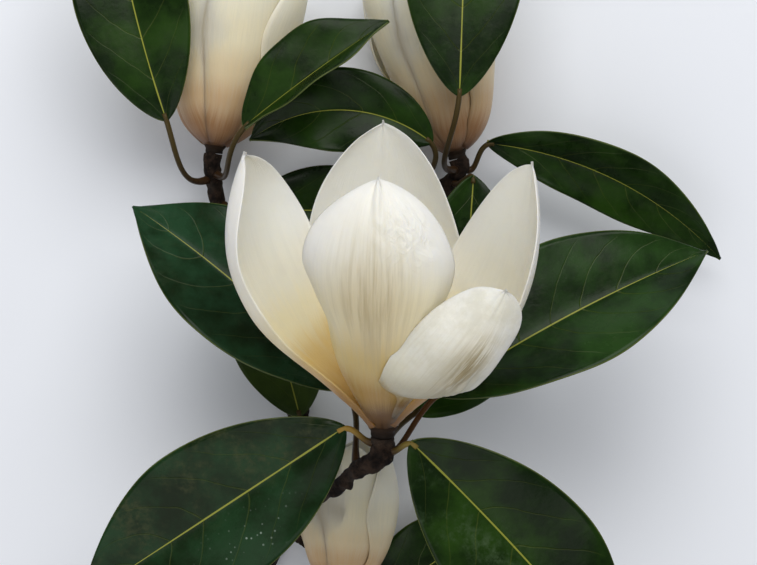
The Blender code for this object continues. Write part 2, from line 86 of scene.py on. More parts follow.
SMALL_BLOOMS = {
    "upper_left_bloom": dict(
        foot=(-0.0683, 0.1074, -0.082), left=-7, rise=4, length=0.090, width=0.050,
        lean=(62, 22, 8, 4, -14), first_turn=20),
    "upper_right_bloom": dict(
        foot=(0.0298, 0.1050, -0.081), left=12, rise=3, length=0.090, width=0.046,
        lean=(60, 16, 10, 4, -14), first_turn=0),
    "lower_bloom": dict(
        foot=(-0.0172, -0.0713, -0.078), left=-4, rise=3, length=0.066, width=0.040,
        lean=(62, 24, 4, -12, -34), first_turn=10),
}
SMALL_BLOOM_TEPALS = 5
HEART_TEPALS = 3

MAIN_STEM = ((-0.0653, -0.1063, -0.1050, 0.0056), (-0.0552, -0.0771, -0.1050, 0.0052),
             (-0.0444, -0.0541, -0.1050, 0.0050), (-0.0360, -0.0291, -0.1050, 0.0046),
             (-0.0344, -0.0082, -0.1050, 0.0042), (-0.0402, 0.0189, -0.1050, 0.0039),
             (-0.0502, 0.0440, -0.1050, 0.0036), (-0.0620, 0.0690, -0.1000, 0.0033),
             (-0.0685, 0.0871, -0.0900, 0.0031))
TWIGS = {
    "front_twig": dict(
        leaves_main_stem=0.20, bloom="front_bloom",
        points=((-0.0435, -0.0470, -0.0860, 0.0031), (-0.0385, -0.0400, -0.0670, 0.0028),
                (-0.0300, -0.0335, -0.0450, 0.0025), (-0.0197, -0.0263, -0.0240, 0.0023),
                (-0.0113, -0.0188, -0.0100, 0.0026), (-0.0029, -0.0129, -0.0030, 0.0036))),
    "upper_right_twig": dict(
        leaves_main_stem=0.60, bloom="upper_right_bloom",
        points=((-0.0290, 0.0560, -0.1020, 0.0028), (-0.0100, 0.0670, -0.1020, 0.0028),
                (0.0080, 0.0765, -0.0990, 0.0028), (0.0235, 0.0880, -0.0900, 0.0029))),
    "lower_twig": dict(
        leaves_main_stem=0.21, bloom="lower_bloom",
        points=((-0.0300, -0.0590, -0.1010, 0.0027), (-0.0230, -0.0680, -0.1010, 0.0026),
                (-0.0180, -0.0800, -0.1000, 0.0026), (-0.0160, -0.0880, -0.0900, 0.0027))),
}

# Swellings of the bark: place from the front bloom's foot, reach and height
NODES_OF_BARK = {
    "front_twig": (
        ((0.0050, -0.0120, 0.0005), 0.0032, 0.0020), ((0.0040, -0.0160, -0.0010), 0.0030, 0.0022),
        ((-0.0010, -0.0185, -0.0035), 0.0032, 0.0018), ((-0.0105, -0.0150, -0.0080), 0.0030, 0.0012),
        ((-0.0118, -0.0245, -0.0130), 0.0018, 0.0040), ((-0.0240, -0.0290, -0.0330), 0.0030, 0.0014),
        ((-0.0170, -0.0282, -0.0200), 0.0035, 0.0016)),
    "main_stem": (
        ((-0.0400, -0.0500, -0.0990), 0.0080, 0.0014), ((-0.0370, 0.0010, -0.0990), 0.0060, 0.0012),
        ((-0.0600, 0.0660, -0.0980), 0.0060, 0.0010), ((-0.0600, -0.0900, -0.0980), 0.0070, 0.0012)),
    "upper_right_twig": (
        ((-0.0080, 0.0680, -0.1000), 0.0050, 0.0010), ((0.0240, 0.0900, -0.0880), 0.0050, 0.0012)),
    "lower_twig": (((-0.0250, -0.0650, -0.0990), 0.0050, 0.0010),),
}

LEAVES = {
    "front_leaf_lower_left": dict(
        stem="front_twig", along=0.94, blade=(-0.0137, -0.0007, 0.0), heading=213.8, climb=-6, droop=6,
        length=0.120, width=0.0560, fold=13),
    "front_leaf_lower_right": dict(
        stem="front_twig", along=0.89, blade=(0.0100, -0.0058, 0.003), heading=-44, turn=-8, climb=-6,
        droop=8, length=0.120, width=0.0570, fold=17),
    "front_leaf_left": dict(
        stem="front_twig", along=0.69, blade=(-0.0142, 0.0114, -0.026), heading=133, turn=14, climb=-8,
        droop=6, length=0.110, width=0.0570, fold=21, roll=21),
    "front_leaf_right": dict(
        stem="front_twig", along=0.85, blade=(0.0201, 0.0095, -0.020), heading=33, turn=-12, climb=-10,
        droop=6, length=0.122, width=0.0600, fold=26, roll=-26),
    "front_leaf_behind": dict(
        stem="front_twig", along=0.79, blade=(0.0118, 0.0017, -0.030), heading=30, turn=10, climb=-14,
        droop=6, length=0.055, width=0.0220, fold=10),
    "stem_leaf": dict(
        stem="main_stem", along=0.42, blade=(-0.0334, -0.0032, -0.078), heading=104, turn=4, climb=6,
        droop=10, length=0.075, width=0.0400, fold=10),
    "upper_left_leaf_right": dict(
        stem="main_stem", along=0.87, blade=(-0.0540, 0.1116, -0.050), heading=38, turn=-4, climb=10,
        droop=16, length=0.070, width=0.0400, fold=38, roll=-40),
    "upper_left_leaf_left": dict(
        stem="main_stem", along=0.85, blade=(-0.0850, 0.1150, -0.058), heading=108, turn=-10, climb=8,
        droop=14, length=0.100, width=0.0460, fold=16),
    "upper_left_leaf_low": dict(
        stem="main_stem", along=0.78, blade=(-0.0560, 0.0797, -0.084), heading=6, turn=-20, climb=4,
        droop=6, length=0.070, width=0.0380, fold=10),
    "upper_right_leaf_up": dict(
        stem="upper_right_twig", along=0.86, blade=(0.0296, 0.1230, -0.044), heading=88, climb=0, droop=12,
        length=0.112, width=0.0490, fold=12),
    "upper_right_leaf_right": dict(
        stem="upper_right_twig", along=0.87, blade=(0.0422, 0.1077, -0.076), heading=-6, turn=-40, climb=4,
        droop=18, length=0.110, width=0.0300, fold=20, roll=25),
    "upper_right_leaf_down": dict(
        stem="upper_right_twig", along=0.80, blade=(0.0365, 0.0940, -0.070), heading=-94, climb=2, droop=8,
        length=0.090, width=0.0430, fold=16),
    "upper_right_leaf_left": dict(
        stem="upper_right_twig", along=0.68, blade=(0.0195, 0.1065, -0.061), heading=142, turn=74, climb=10,
        droop=24, length=0.078, width=0.0340, fold=12),
    "lower_leaf": dict(
        stem="lower_twig", along=0.72, blade=(-0.0060, -0.0840, -0.095), heading=35, climb=2, droop=8,
        length=0.066, width=0.0400, fold=14),
}

# Least heights above the floor
PETAL_LIFT = 0.0009
LEAF_LIFT = 0.0008
LIMB_LIFT = 0.0003
BARK_LIFT = 0.00005

# Heights of the relief on petals and leaves
PETAL_RIPPLE = 0.0006
MARGIN_WAVE = 0.0007
SLIGHT_CREASE = 0.0002
WRINKLE = 0.0010
LEAF_BUCKLE = 0.0012
LEAF_EDGE_WAVE = 0.0009
LEAF_ARCH = 0.0011

# Waves of the bark: size, seed and height, then its rings and the receptacles' scars
BARK_WAVES = ((0.0050, 2.0, 0.00085), (0.0018, 3.0, 0.00042))
BARK_RING = 0.00018
SCAR_SIZE = 0.0022
SCAR_HEIGHT = 0.00028

# Stalks, keels, veins and outline of the leaves
STALK_SINK = 0.0006
STALK_LAP = 0.003
KEEL_SINK = 0.0006
KEEL_END = 0.93
BLADE_ROUNDING = dict(foot=0.65, tip=0.95)
VEINS_A_METRE = 62

# Receptacles, and the heart of the front bloom
RECEPTACLE_CAP = 0.001
CONE_FOOT = 0.002
CONE_HEIGHT = 0.025
CONE_RADIUS = 0.0052
CARPELS = 46
STAMENS = 84
GOLDEN_ANGLE = math.radians(137.508)

# Fineness of the meshes: rows and columns, and how they crowd at tips and keels
FINE = np.linspace(0, 1, 241)
FRONT_GRID = (110, 60)
SMALL_GRID = (44, 22)
HEART_GRID = (40, 20)
LEAF_GRID = (84, 30)
TIP_CROWDING = 1.35
KEEL_CROWDING = 1.15
STALK_POINTS = 29
STALK_SIDES = 14
KEEL_SIDES = 10
CARPEL_SIDES = 8
STAMEN_SIDES = 6
RECEPTACLE_ROWS = 22
TURNED_SIDES = 40
BARK_SIDES = 36
BARK_ROWS_A_POINT = 16

# Numbers that the formulas use
NOISE_SHIFT = (7.3, 3.1, 5.7)
COURSE_STEP = 0.01
NEARLY_UPRIGHT = 0.1
NATURAL_BASE = 2.718

# Colours of petals, from the claw to the tip
PETAL_STATIONS = (0.0, 0.12, 0.26, 0.40, 0.56, 0.78)
PETAL_OUTSIDE = ((0.22, 0.10, 0.03), (0.40, 0.23, 0.08), (0.62, 0.44, 0.21), (0.77, 0.66, 0.45),
                 (0.82, 0.77, 0.64), (0.85, 0.83, 0.77))
PETAL_INSIDE = ((0.42, 0.23, 0.06), (0.52, 0.33, 0.10), (0.68, 0.49, 0.20), (0.82, 0.72, 0.49),
                (0.83, 0.79, 0.66), (0.82, 0.81, 0.73))
FAR_PETAL_OUTSIDE = ((0.16, 0.07, 0.03), (0.34, 0.18, 0.08), (0.56, 0.38, 0.21), (0.70, 0.56, 0.36),
                     (0.79, 0.70, 0.50), (0.83, 0.78, 0.62))
PETAL_STREAK = (0.50, 0.45, 0.35)
PETAL_SHADE = (0.35, 0.30, 0.185)
PETAL_BLOTCH = (0.50, 0.48, 0.38)
PETAL_STAIN = (0.26, 0.21, 0.10)

# Marks on petals and leaves: their place (across, along), their reach in each, and any power
STAIN_PLACE = ((0.30, 0.64), (0.22, 0.15))
SPECKS_PLACE = ((0.55, 0.42), (0.25, 0.12))
FRONT_PETALS = {
    "back": dict(seed=2.0, looks=dict(streaks=0.08)),
    "left": dict(seed=3.0, looks=dict(streaks=0.10)),
    "right": dict(seed=4.0, looks=dict(streaks=0.10)),
    "front": dict(
        seed=5.0, crease=0.0007, wrinkles=(((0.48, 0.80), (0.30, 0.10)), ((0.03, 0.84), (0.07, 0.12))),
        looks=dict(streaks=0.13, shade=((-0.06, 0.61), (0.50, 0.24), 0.90),
                   wrinkled=((0.40, 0.82), (0.32, 0.09)),
                   # The front petal's claw is tan, darkened towards near black at its foot as painted shade
                   # from the parts round it
                   outer=((0.03, 0.010, 0.002), (0.15, 0.066, 0.010), (0.43, 0.26, 0.065),
                          (0.65, 0.51, 0.23), (0.78, 0.71, 0.52), (0.87, 0.86, 0.80)))),
    "low": dict(
        seed=6.0, wrinkles=(((0.45, 0.52), (0.30, 0.10)),),
        looks=dict(streaks=0.35, stained=True, shade=((0.10, 0.62), (0.34, 0.22), 0.60),
                   # The low petal's claw is tan, darkened towards near black as painted shade under its
                   # crease; its blade is grey-white, partly its own grey and partly painted shade
                   outer=((0.04, 0.014, 0.003), (0.20, 0.10, 0.018), (0.46, 0.31, 0.095),
                          (0.58, 0.56, 0.46), (0.66, 0.66, 0.60), (0.86, 0.85, 0.78)))),
    "rear_left": dict(seed=7.0, looks=dict(streaks=0.25)),
    "rear_right": dict(seed=8.0, looks=dict(streaks=0.25)),
}

# Colours of leaves
LEAF_RIB = (0.25, 0.26, 0.040)
LEAF_RIB_BELOW = (0.24, 0.22, 0.07)
LEAF_MARGIN = (0.15, 0.18, 0.04)
LEAF_UNDERSIDE = (0.075, 0.10, 0.035)
LEAF_SPECKS = (0.34, 0.42, 0.36)
STALK_FOOT = (0.035, 0.018, 0.008)
LEAF_LOOKS = {
    # The next two leaves keep their pale tint to one half: dust there, and a painted sheen as well
    "front_leaf_lower_left": dict(
        dust_and_sheen=0.65, dust_and_sheen_right=True, dust_and_sheen_colour=(0.042, 0.050, 0.018), gloss=0.28, green=(0.010, 0.038, 0.012),
        specks=0.55, stalk=(0.30, 0.19, 0.04)),
    "front_leaf_lower_right": dict(
        dust_and_sheen=0.75, dust_and_sheen_right=True, dust_and_sheen_colour=(0.050, 0.085, 0.038), gloss=0.26, stalk=(0.20, 0.15, 0.035)),
    "front_leaf_left": dict(green=(0.012, 0.046, 0.018), gloss=0.27),
    "front_leaf_right": dict(green=(0.015, 0.046, 0.007), gloss=0.27, stalk=(0.10, 0.045, 0.015)),
    "front_leaf_behind": dict(green=(0.030, 0.080, 0.008), deep=(0.014, 0.042, 0.005), gloss=0.35),
    "stem_leaf": dict(green=(0.040, 0.070, 0.010), deep=(0.020, 0.040, 0.007), gloss=0.40),
}

# Photograph's view, straight down on the branch, and the stage
VIEW_FROM = FRONT_BLOOM_FOOT + np.array((-0.0016, 0.0513, 0.62))
VIEW_LENS = 81.9
LIGHT_AIM = (0.0, 0.0, 0.08)
FLOOR_REACH = 3.0
FLOOR_DROP = 0.0002


# Formulas
def smooth_through(values, along):
    """A smooth curve through evenly spaced values, read at places from 0 to 1."""
    values = np.atleast_1d(np.asarray(values, float))
    if len(values) == 1:
        return np.full(np.shape(along), values[0])
    last = len(values) - 1
    place = np.clip(np.asarray(along, float), 0, 1) * last
    index = np.minimum(place.astype(int), last - 1)
    part = place - index
    ends = np.concatenate(([2 * values[0] - values[1]], values, [2 * values[-1] - values[-2]]))
    before, here, after, beyond = ends[index], ends[index + 1], ends[index + 2], ends[index + 3]
    return 0.5 * (2 * here + (after - before) * part
                  + (2 * before - 5 * here + 4 * after - beyond) * part ** 2
                  + (3 * here - before - 3 * after + beyond) * part ** 3)


def ease(value):
    value = np.clip(value, 0, 1)
    return value * value * (3 - 2 * value)


def unit(way):
    return way / np.linalg.norm(way)


def running_total(values, step):
    """Area under the values up to each of them, along the first axis."""
    total = np.zeros_like(values)
    total[1:] = np.cumsum((values[1:] + values[:-1]) / 2 * step, axis=0)
    return total


def pressed_to_ground(points, clearance):
    """Points that would be lower than the clearance, bent smoothly up to it."""
    height = points[..., 2] - clearance
    bend = (height + PRESS_BLEND) ** 2 / (4 * PRESS_BLEND)
    height = np.where(height > PRESS_BLEND, height, np.where(height < -PRESS_BLEND, 0, bend))
    pressed = points.copy()
    pressed[..., 2] = height + clearance
    return pressed


def picked(fine_values, along):
    return np.stack([np.interp(along, FINE, fine_values[:, axis]) for axis in range(3)], axis=1)


def section(half_angles, columns):
    """A cupped cross section one half width to each side: places sideways and inwards."""
    across = np.linspace(-1, 1, columns + 1)
    angle = half_angles[:, None] * across[None, :]
    step = across[1] - across[0]
    sideways = running_total(np.cos(angle).T, step).T
    inwards = running_total(np.sin(angle).T, step).T
    middle = columns // 2
    return sideways - sideways[:, middle:middle + 1], inwards - inwards[:, middle:middle + 1]


def waves(points, scale, seed):
    """Smooth noise from -1 to 1 at each point."""
    shift = Vector([seed * step for step in NOISE_SHIFT])
    flat = points.reshape(-1, 3) / scale
    values = [noise.noise(Vector(p) + shift) for p in flat]
    return np.array(values).reshape(points.shape[:-1])


def normals_of(points):
    """Unit normals of a grid surface, rows by columns."""
    down = np.gradient(points, axis=0)
    over = np.gradient(points, axis=1)
    normal = np.cross(over, down)
    length = np.linalg.norm(normal, axis=-1, keepdims=True)
    return normal / np.maximum(length, 1e-12)


def tepal_points(along, columns, turn, length, width, lean, cup, claw=0.4, widens=(0.2, 0.6),
                 rounds=0.55, blunt=2.3, point=0.6, sway=0, roll=0, start=(0.004, 0.0), body=None):
    """A petal's middle surface in its bloom's own frame, rows along by columns across."""
    turn = math.radians(turn)
    outwards = np.array((math.sin(turn), -math.cos(turn), 0.0))
    sideways = np.array((math.cos(turn), math.sin(turn), 0.0))
    upwards = np.array((0.0, 0.0, 1.0))
    lean = np.radians(smooth_through(lean, FINE))[:, None]
    sway = np.radians(smooth_through(sway, FINE))[:, None]
    roll = np.radians(smooth_through(roll, FINE))[:, None]
    rising = upwards * np.cos(lean) + outwards * np.sin(lean)
    heading = rising * np.cos(sway) + sideways * np.sin(sway)
    spine = running_total(heading, length / (len(FINE) - 1)) + outwards * start[0] + upwards * start[1]
    flat = sideways * np.cos(sway) - rising * np.sin(sway)
    facing = outwards * np.cos(lean) - upwards * np.sin(lean)
    across = flat * np.cos(roll) + facing * np.sin(roll)
    facing = facing * np.cos(roll) - flat * np.sin(roll)
    spine, across, facing = picked(spine, along), picked(across, along), picked(facing, along)
    if body is None:
        body = claw + (1 - claw) * ease((along - widens[0]) / (widens[1] - widens[0]))
        body = body * (CLAW_FOOT_WIDTH + (1 - CLAW_FOOT_WIDTH) * ease(along / CLAW_FOOT_END))
    else:
        body = smooth_through(body, along)
    past = np.clip((along - rounds) / (1 - MUCRO - rounds), 0, 1)
    rounded = (1 - past ** blunt) ** point
    beak = BEAK_WIDTH * np.clip((1 - along) / (4 * MUCRO), 0, 1) ** 1.5
    half_width = width / 2 * body * np.hypot(rounded, beak) + LEAST_TEPAL_HALF
    aside, inwards = section(np.radians(smooth_through(cup, along)), columns)
    return (spine[:, None] + across[:, None] * (aside * half_width[:, None])[..., None]
            - facing[:, None] * (inwards * half_width[:, None])[..., None])


def blade_outline(along):
    """A blade's width along it, fuller towards its foot than towards its tip."""
    arch = np.abs(np.sin(math.pi * along))
    return np.where(along < 0.5, arch ** BLADE_ROUNDING["foot"], arch ** BLADE_ROUNDING["tip"])


def path_points(points, along):
    points = np.asarray(points)
    return np.stack([smooth_through(points[:, axis], along) for axis in range(points.shape[1])], axis=-1)


def foot_on(stem, along, towards, gap):
    """A place on a stem's bark, or a gap off it, on the side towards a point, and the way out."""
    here = path_points(stem, np.array(along))
    behind = path_points(stem, np.array(max(along - COURSE_STEP, 0.0)))
    ahead = path_points(stem, np.array(min(along + COURSE_STEP, 1.0)))
    course = unit((ahead - behind)[:3])
    out = np.asarray(towards) - here[:3]
    out = unit(out - course * np.dot(out, course))
    return here[:3] + out * (here[3] + gap), out


def bloom_frame(left, rise):
    """A bloom's right, lower side and axis, as columns, turned left and raised from +Y."""
    aside, up = math.radians(left), math.radians(rise)
    axis = np.array((-math.sin(aside) * math.cos(up), math.cos(aside) * math.cos(up), math.sin(up)))
    right = unit(np.cross(axis, (0.0, 0.0, 1.0)))
    return np.stack((right, np.cross(axis, right), axis), axis=1)


def bloom_end(name):
    """The last two points of the wood that carries a bloom."""
    if name == "front_bloom":
        foot, axis, sizes = FRONT_BLOOM_FOOT, bloom_frame(0, FRONT_BLOOM_RISE)[:, 2], FRONT_RECEPTACLE
    else:
        shape = SMALL_BLOOMS[name]
        foot = np.asarray(shape["foot"]) + FRONT_BLOOM_FOOT
        axis, sizes = bloom_frame(shape["left"], shape["rise"])[:, 2], SMALL_RECEPTACLE
    top = foot - axis * (sizes["below"] + JOINT_GAP)
    below = top - axis * TWIG_END
    return np.array((*below, sizes["foot"])), np.array((*top, sizes["foot"]))


def on_ground(points):
    """Points of a stem, placed from the front bloom's foot, none lower than its own radius."""
    placed = np.asarray(points, float) + np.array((*FRONT_BLOOM_FOOT, 0.0))
    placed[:, 2] = np.maximum(placed[:, 2], placed[:, 3])
    return placed


def stem_courses():
    """The course of every stem and twig: rows of a place and a radius."""
    main = on_ground(MAIN_STEM)
    courses = {"main_stem": np.concatenate((main, bloom_end("upper_left_bloom")))}
    for name, twig in TWIGS.items():
        placed = on_ground(twig["points"])
        foot, out = foot_on(courses["main_stem"], twig["leaves_main_stem"], placed[0, :3], JOINT_GAP)
        radius = placed[0, 3]
        start = np.array(((*foot, radius), (*(foot + out * TWIG_END), radius)))
        courses[name] = np.concatenate((start, placed, bloom_end(twig["bloom"])))
    return courses


# Meshes
def grid_faces(rows, columns, first=0, wrap=False, flip=False):
    """Quads of a grid of (rows + 1) by (columns + 1) vertices, or by columns where it wraps round."""
    wide = columns if wrap else columns + 1
    row, column = np.meshgrid(np.arange(rows), np.arange(columns), indexing="ij")
    after = (column + 1) % wide
    quads = np.stack((row * wide + column, row * wide + after, (row + 1) * wide + after,
                      (row + 1) * wide + column), axis=-1).reshape(-1, 4) + first
    return quads[:, ::-1] if flip else quads


def add_object(name, data, at=(0.0, 0.0, 0.0)):
    item = bpy.data.objects.new(name, data)
    item.location = at
    bpy.context.scene.collection.objects.link(item)
    return item


class Shell:
    """Vertices, faces and named numbers of one piece, gathered from several surfaces."""

    def __init__(self):
        self.points, self.faces, self.facts = [], [], {}
        self.count = 0

    def add(self, points, faces, **facts):
        """One more surface; a fact that is not given is 0 on it."""
        points = np.asarray(points).reshape(-1, 3)
        self.points.append(points)
        self.faces.extend((np.asarray(face) + self.count).tolist() for face in faces)
        for key in sorted(set(self.facts) | set(facts)):
            values = np.ravel(np.asarray(facts.get(key, 0.0), float))
            earlier = [np.zeros(self.count)] if self.count else []
            self.facts.setdefault(key, earlier).append(np.broadcast_to(values, len(points)))
        self.count += len(points)

    def sheet(self, middle, thickness, **facts):
        """A thin closed solid about a grid; the fact named side is 1 on the side of the normals."""
        rows, columns = middle.shape[0] - 1, middle.shape[1] - 1
        half = normals_of(middle) * thickness[..., None] / 2
        points = np.concatenate(((middle + half).reshape(-1, 3), (middle - half).reshape(-1, 3)))
        count = (rows + 1) * (columns + 1)
        rim = np.concatenate((np.arange(columns), np.arange(rows) * (columns + 1) + columns,
                              rows * (columns + 1) + np.arange(columns, 0, -1),
                              np.arange(rows, 0, -1) * (columns + 1)))
        after = np.roll(rim, -1)
        edge = np.stack((rim, rim + count, after + count, after), axis=1)
        quads = np.concatenate((grid_faces(rows, columns), grid_faces(rows, columns, count, flip=True), edge))
        doubled = {key: np.tile(np.ravel(value), 2) if np.size(value) > 1 else value
                   for key, value in facts.items()}
        self.add(points, quads, side=np.repeat((1.0, 0.0), count), **doubled)

    def tube(self, path, radius, around, relief=None, **facts):
        """A round limb along a path, closed at both ends; relief adds to the radius, rows by around."""
        path = np.asarray(path)
        course = np.gradient(path, axis=0)
        course /= np.linalg.norm(course, axis=1, keepdims=True)
        side = np.cross(course[0], (0.0, 0.0, 1.0))
        if np.linalg.norm(side) < NEARLY_UPRIGHT:
            side = np.cross(course[0], (1.0, 0.0, 0.0))
        sides = []
        for way in course:
            side = unit(side - way * np.dot(side, way))
            sides.append(side)
        sides = np.array(sides)
        other = np.cross(course, sides)
        angle = np.linspace(0, 2 * math.pi, around, endpoint=False)
        ring = sides[:, None] * np.cos(angle)[None, :, None] + other[:, None] * np.sin(angle)[None, :, None]
        reach = np.repeat(np.asarray(radius, float)[:, None], around, axis=1)
        if relief is not None:
            reach += relief(path[:, None] + ring * reach[..., None])
        points = path[:, None] + ring * reach[..., None]
        quads = grid_faces(len(path) - 1, around, wrap=True, flip=True).tolist()
        quads.append(list(range(around)))
        quads.append(list(range((len(path) - 1) * around, len(path) * around))[::-1])
        spread = {key: np.repeat(value, around) if np.size(value) == len(path) else value
                  for key, value in facts.items()}
        self.add(points, quads, **spread)

    def build(self, name, material):
        """One smooth piece of all that was added, riding on the only body."""
        mesh = bpy.data.meshes.new(name)
        mesh.from_pydata(np.concatenate(self.points).tolist(), [], self.faces)
        for key, values in self.facts.items():
            layer = mesh.attributes.new(key, "FLOAT", "POINT")
            layer.data.foreach_set("value", np.concatenate(values).astype(np.float32))
        mesh.materials.append(material)
        mesh.shade_smooth()
        piece = add_object(name, mesh)
        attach(piece, "root")
        return piece


# Materials
class Looks:
    """A material's nodes, made by short calls that return sockets."""

    def __init__(self, name, roughness, specular, **constants):
        self.material = bpy.data.materials.new(name)
        self.material.use_nodes = True
        self.tree = self.material.node_tree
        self.shader = self.tree.nodes["Principled BSDF"]
        self.shader.inputs["Roughness"].default_value = roughness
        self.shader.inputs["Specular IOR Level"].default_value = specular
        for key, value in constants.items():
            self.shader.inputs[key.replace("_", " ")].default_value = value

    def put(self, socket, value):
        if isinstance(value, bpy.types.NodeSocket):
            self.tree.links.new(value, socket)
        elif isinstance(value, tuple) and socket.type == "RGBA":
            socket.default_value = (*value, 1.0)
        else:
            socket.default_value = value

    def node(self, kind, **settings):
        made = self.tree.nodes.new(kind)
        for key, value in settings.items():
            setattr(made, key, value)
        return made

    def fact(self, name):
        return self.node("ShaderNodeAttribute", attribute_name=name).outputs["Fac"]

    def place(self):
        return self.node("ShaderNodeTexCoord").outputs["Object"]

    def math(self, operation, first, second=0.0, clamp=False):
        made = self.node("ShaderNodeMath", operation=operation, use_clamp=clamp)
        self.put(made.inputs[0], first)
        self.put(made.inputs[1], second)
        return made.outputs[0]

    def times(self, first, second):
        return self.math("MULTIPLY", first, second)

    def plus(self, first, second):
        return self.math("ADD", first, second)

    def minus(self, first, second):
        return self.math("SUBTRACT", first, second)

    def absolute(self, value):
        return self.math("ABSOLUTE", value)

    def vector(self, x, y, z):
        made = self.node("ShaderNodeCombineXYZ")
        for socket, value in zip(made.inputs, (x, y, z)):
            self.put(socket, value)
        return made.outputs[0]

    def noise(self, scale, at=None, detail=3.0, roughness=0.5, distortion=0.0):
        made = self.node("ShaderNodeTexNoise")
        self.put(made.inputs["Vector"], self.place() if at is None else at)
        for key, value in (("Scale", scale), ("Detail", detail), ("Roughness", roughness),
                           ("Distortion", distortion)):
            self.put(made.inputs[key], value)
        return made.outputs["Fac"]

    def cells(self, scale):
        """How far each place is from the nearest of many scattered points."""
        made = self.node("ShaderNodeTexVoronoi")
        self.put(made.inputs["Vector"], self.place())
        made.inputs["Scale"].default_value = scale
        return made.outputs["Distance"]

    def ramp(self, value, *stops):
        """A number or colour read smoothly from stops of (place, value)."""
        made = self.node("ShaderNodeValToRGB")
        made.color_ramp.interpolation = "EASE"
        self.put(made.inputs["Fac"], value)
        elements = made.color_ramp.elements
        while len(elements) < len(stops):
            elements.new(0.5)
        for element, (position, shade) in zip(elements, stops):
            element.position = position
            element.color = (*shade, 1.0) if isinstance(shade, tuple) else (shade, shade, shade, 1.0)
        return made.outputs["Color"]

    def rise(self, value, low, high):
        """0 where the value is low and 1 where it is high."""
        return self.ramp(value, (low, 0.0), (high, 1.0))

    def mix(self, factor, first, second):
        made = self.node("ShaderNodeMix", data_type="RGBA")
        self.put(made.inputs[0], factor)
        self.put(made.inputs[6], first)
        self.put(made.inputs[7], second)
        return made.outputs[2]

    def tint(self, base, mask, amount, colour):
        """The base, turned to a colour by an amount where the mask is 1."""
        return self.mix(self.times(mask, amount), base, colour)

    def spot(self, x, y, at, reach, power=1.0):
        """The power at a place on a surface's own x and y, falling smoothly to 0 past its reach in each."""
        far_x = self.math("DIVIDE", self.minus(x, at[0]), reach[0])
        far_y = self.math("DIVIDE", self.minus(y, at[1]), reach[1])
        far = self.plus(self.times(far_x, far_x), self.times(far_y, far_y))
        bell = self.math("POWER", NATURAL_BASE, self.times(far, -1.0))
        return self.math("MULTIPLY", bell, power, clamp=True)

    def bump(self, height, distance, strength):
        made = self.node("ShaderNodeBump")
        made.inputs["Distance"].default_value = distance
        made.inputs["Strength"].default_value = strength
        self.put(made.inputs["Height"], height)
        self.tree.links.new(made.outputs["Normal"], self.shader.inputs["Normal"])

    def colour(self, value):
        self.put(self.shader.inputs["Base Color"], value)

    def roughness(self, value):
        self.put(self.shader.inputs["Roughness"], value)


def tepal_looks(name, seed, outer=PETAL_OUTSIDE, streaks=0.2, shade=None, stained=False, wrinkled=None):
    """Waxy petal: colours from its claw to its tip on both faces, with faint lengthwise streaks."""
    looks = Looks(name, roughness=0.42, specular=0.24, Subsurface_Weight=0.5, Subsurface_Scale=0.004,
                  Subsurface_Radius=(1.0, 0.85, 0.6))
    along, across, side = looks.fact("along"), looks.fact("across"), looks.fact("side")
    lengthwise = looks.vector(looks.times(across, 5.0), looks.times(along, 0.9), seed)
    fibres = looks.noise(3.2, lengthwise, detail=5.0, roughness=0.6, distortion=0.2)
    mottle = looks.noise(95.0, detail=4.0, roughness=0.55)
    wander = looks.plus(along, looks.times(looks.minus(fibres, 0.5), 0.10))
    base = looks.mix(side, looks.ramp(wander, *zip(PETAL_STATIONS, PETAL_INSIDE)),
                     looks.ramp(wander, *zip(PETAL_STATIONS, outer)))
    lines = looks.rise(fibres, 0.40, 0.66)
    middle = looks.ramp(along, (0.05, 0.3), (0.3, 1.0), (0.62, 0.8), (0.84, 0.0))
    base = looks.tint(base, looks.times(lines, middle), streaks, PETAL_STREAK)
    if shade:
        dim = looks.spot(across, along, *shade)
        dim = looks.times(dim, looks.plus(looks.times(lines, 0.35), 0.65))
        base = looks.mix(dim, base, PETAL_SHADE)
    base = looks.tint(base, looks.rise(mottle, 0.45, 0.75), 0.08, PETAL_STREAK)
    if stained:
        blotch = looks.rise(looks.noise(60.0, detail=5.0, roughness=0.65), 0.40, 0.65)
        base = looks.tint(base, blotch, 0.45, PETAL_BLOTCH)
        drawn_out = looks.vector(looks.times(across, 9.0), looks.times(along, 2.2), seed + 3.0)
        mark = looks.rise(looks.noise(2.6, drawn_out, detail=5.0, roughness=0.65), 0.36, 0.54)
        stain = looks.times(mark, looks.spot(across, along, *STAIN_PLACE))
        base = looks.tint(base, stain, 0.85, PETAL_STAIN)
    looks.colour(base)
    looks.roughness(looks.ramp(fibres, (0.3, 0.28), (0.7, 0.46)))
    fine = looks.noise(9.0, lengthwise, detail=4.0, roughness=0.6)
    height = looks.plus(looks.times(fine, 0.5), looks.times(mottle, 0.5))
    if wrinkled:
        over = looks.vector(looks.times(across, 7.0), looks.times(along, 17.0), seed)
        folds = looks.absolute(looks.minus(looks.noise(1.0, over, distortion=1.0), 0.5))
        near = looks.spot(across, along, *wrinkled)
        height = looks.minus(height, looks.times(looks.times(folds, near), 10.0))
    looks.bump(height, 0.0005, 0.45)
    return looks.material


